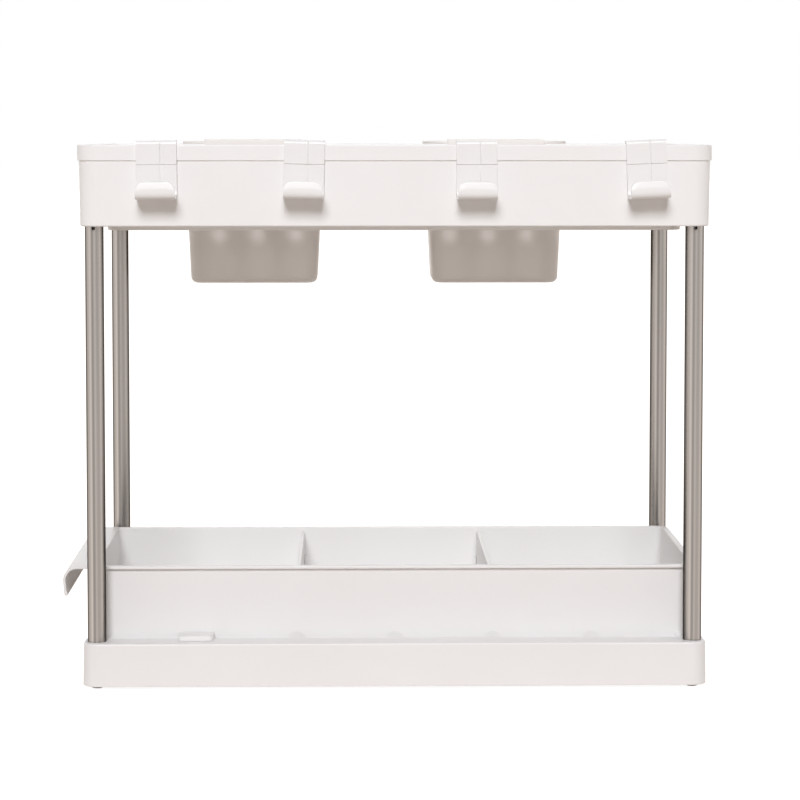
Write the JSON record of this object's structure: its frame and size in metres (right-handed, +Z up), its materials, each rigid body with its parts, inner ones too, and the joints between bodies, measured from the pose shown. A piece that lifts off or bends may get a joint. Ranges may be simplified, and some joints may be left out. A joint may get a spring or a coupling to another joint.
{
  "type": "pull out cabinet basket",
  "caption": "Free-standing cabinet organiser: a drained top tray on steel tubes over a base with a sliding, divided drawer, with hooks on the front rim and cups on the back rim.",
  "frame": {"origin": "on the floor, under the middle of the outer box", "axes": "+X along the base, away from the drawer's handle; +Y from the hooks at the front to the cups at the back; +Z up"},
  "size_m": [0.4194, 0.32, 0.3552],
  "materials": {
    "white_plastic": "satin moulded plastic, warm white",
    "brushed_tube": "brushed along the tube",
    "foot_pad": "matt light grey pad"
  },
  "bodies": {
    "frame": {"base_tray": "white_plastic", "foot_front_left": "foot_pad", "foot_front_right": "foot_pad", "foot_back_left": "foot_pad", "foot_back_right": "foot_pad", "leg_front_left": "brushed_tube", "leg_front_right": "brushed_tube", "leg_back_left": "brushed_tube", "leg_back_right": "brushed_tube", "top_tray": "white_plastic", "clip_front": "white_plastic", "clip_back": "white_plastic"},
    "drawer": {"drawer": "white_plastic"},
    "divider_left": {"divider_left": "white_plastic"},
    "divider_right": {"divider_right": "white_plastic"},
    "hook_1": {"hook_1": "white_plastic"},
    "hook_2": {"hook_2": "white_plastic"},
    "hook_3": {"hook_3": "white_plastic"},
    "hook_4": {"hook_4": "white_plastic"},
    "cup_left": {"cup_left": "white_plastic"},
    "cup_right": {"cup_right": "white_plastic"}
  },
  "joints": [
    {"name": "drawer_slide", "type": "slide", "parent": "frame", "child": "drawer", "axis": [-1, 0, 0], "range_m": [0, 0.3]},
    {"name": "divider_left_lift", "type": "slide", "parent": "drawer", "child": "divider_left", "axis": [0, 0, 1], "range_m": [0, 0.06]},
    {"name": "divider_right_lift", "type": "slide", "parent": "drawer", "child": "divider_right", "axis": [0, 0, 1], "range_m": [0, 0.06]},
    {"name": "hook_1_slide", "type": "slide", "parent": "frame", "child": "hook_1", "axis": [1, 0, 0], "range_m": [-0.022, 0.03]},
    {"name": "hook_2_slide", "type": "slide", "parent": "frame", "child": "hook_2", "axis": [1, 0, 0], "range_m": [-0.03, 0.04]},
    {"name": "hook_3_slide", "type": "slide", "parent": "frame", "child": "hook_3", "axis": [1, 0, 0], "range_m": [-0.04, 0.038]},
    {"name": "hook_4_slide", "type": "slide", "parent": "frame", "child": "hook_4", "axis": [1, 0, 0], "range_m": [-0.038, 0.015]},
    {"name": "cup_left_lift", "type": "slide", "parent": "frame", "child": "cup_left", "axis": [0, 0, 1], "range_m": [0, 0.11]},
    {"name": "cup_right_lift", "type": "slide", "parent": "frame", "child": "cup_right", "axis": [0, 0, 1], "range_m": [0, 0.11]}
  ]
}
